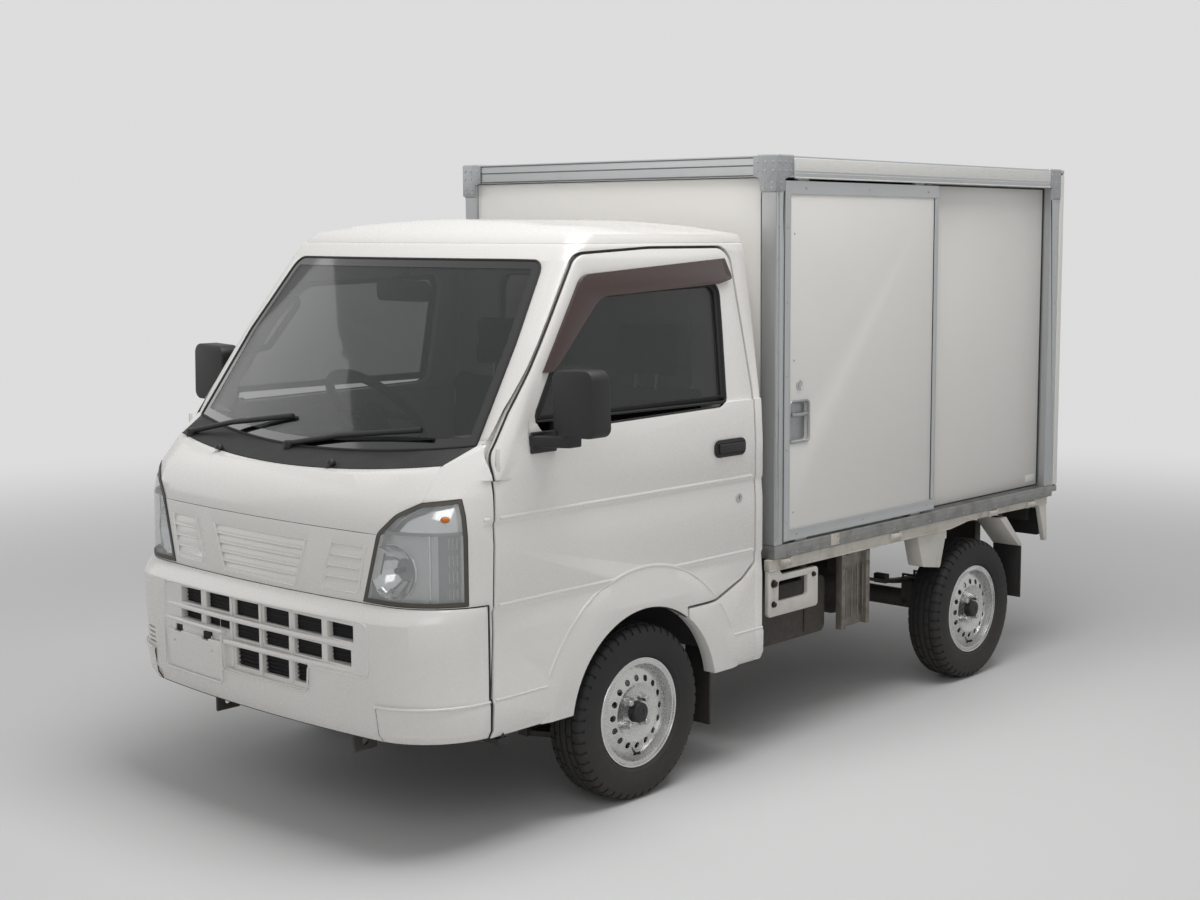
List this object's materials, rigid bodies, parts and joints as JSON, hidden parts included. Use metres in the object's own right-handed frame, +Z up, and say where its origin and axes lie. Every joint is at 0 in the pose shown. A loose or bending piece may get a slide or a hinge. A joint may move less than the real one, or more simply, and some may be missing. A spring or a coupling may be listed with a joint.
{
  "type": "cab-over kei truck with panel box body",
  "caption": "Small cab-over truck with an aluminium-framed panel box, opening cab, side and rear doors, steering front wheels and wheels that roll.",
  "frame": {"origin": "on the ground, midway along the truck and on its centre line", "axes": "+Z up, front of the truck towards -Y, +X to the truck's left side"},
  "size_m": [1.8618, 3.395, 1.9499],
  "materials": {
    "paint_white": "gloss white body paint with light dust",
    "box_white": "semi-gloss white faced panel",
    "bed_paint": "off-white paint, grimy and rusting at edges",
    "frame_black": "black chassis paint with road dirt",
    "axle_iron": "dark oily casting",
    "floor_grey": "grey floor mat",
    "window_glass": "green-grey tinted glass",
    "lamp_clear": "clear moulded lamp lens",
    "lamp_red": "red moulded lens",
    "black_plastic": "grained black plastic",
    "seat_fabric": "dark woven seat cloth",
    "visor_brown": "brown smoked acrylic",
    "aluminium": "mill-finish extrusion, dulled",
    "flap_rubber": "black rubber sheet",
    "tyre_rubber": "black tyre rubber",
    "wheel_silver": "silver painted pressed steel"
  },
  "bodies": {
    "root": {"chassis_frame": "frame_black", "front_suspension": "frame_black", "rear_axle": "axle_iron", "engine_block": "axle_iron", "fuel_tank": "frame_black", "exhaust": "axle_iron", "bed_beams": "frame_black", "cab_floor": "floor_grey", "cab_shell": "paint_white", "cab_roof": "paint_white", "cab_glass": "window_glass", "hood": "paint_white", "grille_panel": "paint_white", "headlamps": "lamp_clear", "front_bumper": "paint_white", "bumper_grille": "black_plastic", "wing_panels": "paint_white", "cowl": "black_plastic", "wipers": "black_plastic", "dashboard": "black_plastic", "seats": "seat_fabric", "cab_fittings": "black_plastic", "box_base": "aluminium", "box_frame": "aluminium", "box_panels": "box_white", "bed_sides": "bed_paint", "bed_brackets": "bed_paint", "mud_flaps": "flap_rubber", "tail_lamps": "lamp_red"},
    "steering_wheel": {"steering_wheel": "black_plastic"},
    "door_left": {"door_left": "paint_white", "door_left_glass": "window_glass", "door_left_fittings": "black_plastic", "door_left_visor": "visor_brown"},
    "door_right": {"door_right": "paint_white", "door_right_glass": "window_glass", "door_right_fittings": "black_plastic", "door_right_visor": "visor_brown"},
    "slide_door_left": {"slide_door_left": "box_white"},
    "slide_door_right": {"slide_door_right": "box_white"},
    "rear_door_left": {"rear_door_left": "box_white"},
    "rear_door_right": {"rear_door_right": "box_white"},
    "knuckle_left": {"knuckle_left": "axle_iron"},
    "knuckle_right": {"knuckle_right": "axle_iron"},
    "wheel_front_left": {"wheel_front_left": "wheel_silver", "tyre_front_left": "tyre_rubber"},
    "wheel_front_right": {"wheel_front_right": "wheel_silver", "tyre_front_right": "tyre_rubber"},
    "wheel_rear_left": {"wheel_rear_left": "wheel_silver", "tyre_rear_left": "tyre_rubber"},
    "wheel_rear_right": {"wheel_rear_right": "wheel_silver", "tyre_rear_right": "tyre_rubber"}
  },
  "joints": [
    {"name": "steering_wheel_turn", "type": "hinge", "parent": "root", "child": "steering_wheel", "pos_m": [-0.35, -0.9275, 1.12], "axis": [0, 0.7311, 0.6823], "range_deg": [-560, 560]},
    {"name": "steer_left", "type": "hinge", "parent": "root", "child": "knuckle_left", "pos_m": [0.545, -0.8085, 0.268], "axis": [0, 0, 1], "range_deg": [-35, 35]},
    {"name": "steer_right", "type": "hinge", "parent": "root", "child": "knuckle_right", "pos_m": [-0.545, -0.8085, 0.268], "axis": [0, 0, 1], "range_deg": [-35, 35]},
    {"name": "door_left_hinge", "type": "hinge", "parent": "root", "child": "door_left", "pos_m": [0.721, -1.3855, 0.7], "axis": [0, 0, -1], "range_deg": [0, 65]},
    {"name": "door_right_hinge", "type": "hinge", "parent": "root", "child": "door_right", "pos_m": [-0.721, -1.3855, 0.7], "axis": [0, 0, 1], "range_deg": [0, 65]},
    {"name": "slide_door_left_run", "type": "slide", "parent": "root", "child": "slide_door_left", "axis": [0, 1, 0], "range_m": [0, 0.795]},
    {"name": "slide_door_right_run", "type": "slide", "parent": "root", "child": "slide_door_right", "axis": [0, 1, 0], "range_m": [0, 0.795]},
    {"name": "rear_door_left_hinge", "type": "hinge", "parent": "root", "child": "rear_door_left", "pos_m": [0.722, 1.6765, 1.3], "axis": [0, 0, -1], "range_deg": [0, 170]},
    {"name": "rear_door_right_hinge", "type": "hinge", "parent": "root", "child": "rear_door_right", "pos_m": [-0.722, 1.6765, 1.3], "axis": [0, 0, 1], "range_deg": [0, 170]},
    {"name": "wheel_front_left_spin", "type": "hinge", "parent": "knuckle_left", "child": "wheel_front_left", "pos_m": [0.648, -0.8085, 0.268], "axis": [1, 0, 0], "continuous": true},
    {"name": "wheel_front_right_spin", "type": "hinge", "parent": "knuckle_right", "child": "wheel_front_right", "pos_m": [-0.648, -0.8085, 0.268], "axis": [1, 0, 0], "continuous": true},
    {"name": "wheel_rear_left_spin", "type": "hinge", "parent": "root", "child": "wheel_rear_left", "pos_m": [0.643, 1.0965, 0.268], "axis": [1, 0, 0], "continuous": true},
    {"name": "wheel_rear_right_spin", "type": "hinge", "parent": "root", "child": "wheel_rear_right", "pos_m": [-0.643, 1.0965, 0.268], "axis": [1, 0, 0], "continuous": true}
  ],
  "couplings": [
    {"joint": "steer_left", "follows": "steering_wheel_turn", "ratio": 0.0625},
    {"joint": "steer_right", "follows": "steering_wheel_turn", "ratio": 0.0625}
  ]
}
